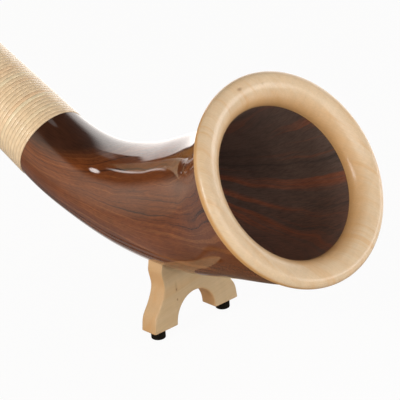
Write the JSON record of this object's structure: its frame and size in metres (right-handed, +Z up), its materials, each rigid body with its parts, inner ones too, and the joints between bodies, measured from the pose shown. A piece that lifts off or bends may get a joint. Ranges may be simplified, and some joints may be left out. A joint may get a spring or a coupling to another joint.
{
  "type": "alphorn",
  "caption": "Long conical wooden natural horn in plug-together sections, cane wound, with an upturned bell on a foot with rubber soles.",
  "frame": {"origin": "on the floor, in the middle of the horn's whole length and on its plane of symmetry", "axes": "+X is level and points the way the bell faces, +Z is up, +Y is the player's left"},
  "size_m": [3.1706, 0.26, 1.4405],
  "materials": {
    "walnut": "gloss lacquer",
    "maple": "satin lacquer",
    "spruce": "oiled",
    "cane": "satin lacquer",
    "brass": "polished",
    "rubber": "matte",
    "steel": "plain",
    "boxwood": "oiled"
  },
  "bodies": {
    "bell_section": {"bell_left_half": "walnut", "bell_right_half": "walnut", "rim_ring": "maple", "bell_tube_left_half": "spruce", "bell_tube_right_half": "spruce", "bell_tube_cane_turns": "cane", "bell_tube_cane": "cane", "lower_socket": "brass", "foot_block": "maple", "foot_dowel_left": "maple", "foot_dowel_right": "maple", "rubber_foot_left": "rubber", "rubber_foot_right": "rubber", "foot_screw_left": "steel", "foot_screw_right": "steel"},
    "middle_o_rings": {"middle_tenon_o_ring_lower": "rubber", "middle_tenon_o_ring_upper": "rubber"},
    "middle_section": {"middle_tube_left_half": "spruce", "middle_tube_right_half": "spruce", "middle_tube_cane": "cane", "middle_tenon": "brass", "upper_socket": "brass"},
    "hand_o_rings": {"hand_tenon_o_ring_lower": "rubber", "hand_tenon_o_ring_upper": "rubber"},
    "hand_section": {"hand_tube_left_half": "spruce", "hand_tube_right_half": "spruce", "hand_tube_cane": "cane", "hand_tenon": "brass", "mouthpiece_receiver": "brass"},
    "mouthpiece": {"mouthpiece": "boxwood"}
  },
  "joints": [
    {"name": "middle_slide", "type": "slide", "parent": "bell_section", "child": "middle_o_rings", "axis": [-0.9048, 0, 0.4258], "range_m": [0, 0.06]},
    {"name": "middle_turn", "type": "hinge", "parent": "middle_o_rings", "child": "middle_section", "pos_m": [0.25862, 0, 0.5629], "axis": [-0.9048, 0, 0.4258], "continuous": true},
    {"name": "hand_slide", "type": "slide", "parent": "middle_section", "child": "hand_o_rings", "axis": [-0.9048, 0, 0.4258], "range_m": [0, 0.06]},
    {"name": "hand_turn", "type": "hinge", "parent": "hand_o_rings", "child": "hand_section", "pos_m": [-0.64621, 0, 0.98868], "axis": [-0.9048, 0, 0.4258], "continuous": true},
    {"name": "mouthpiece_slide", "type": "slide", "parent": "hand_section", "child": "mouthpiece", "axis": [-0.9048, 0, 0.4258], "range_m": [0, 0.036]}
  ]
}
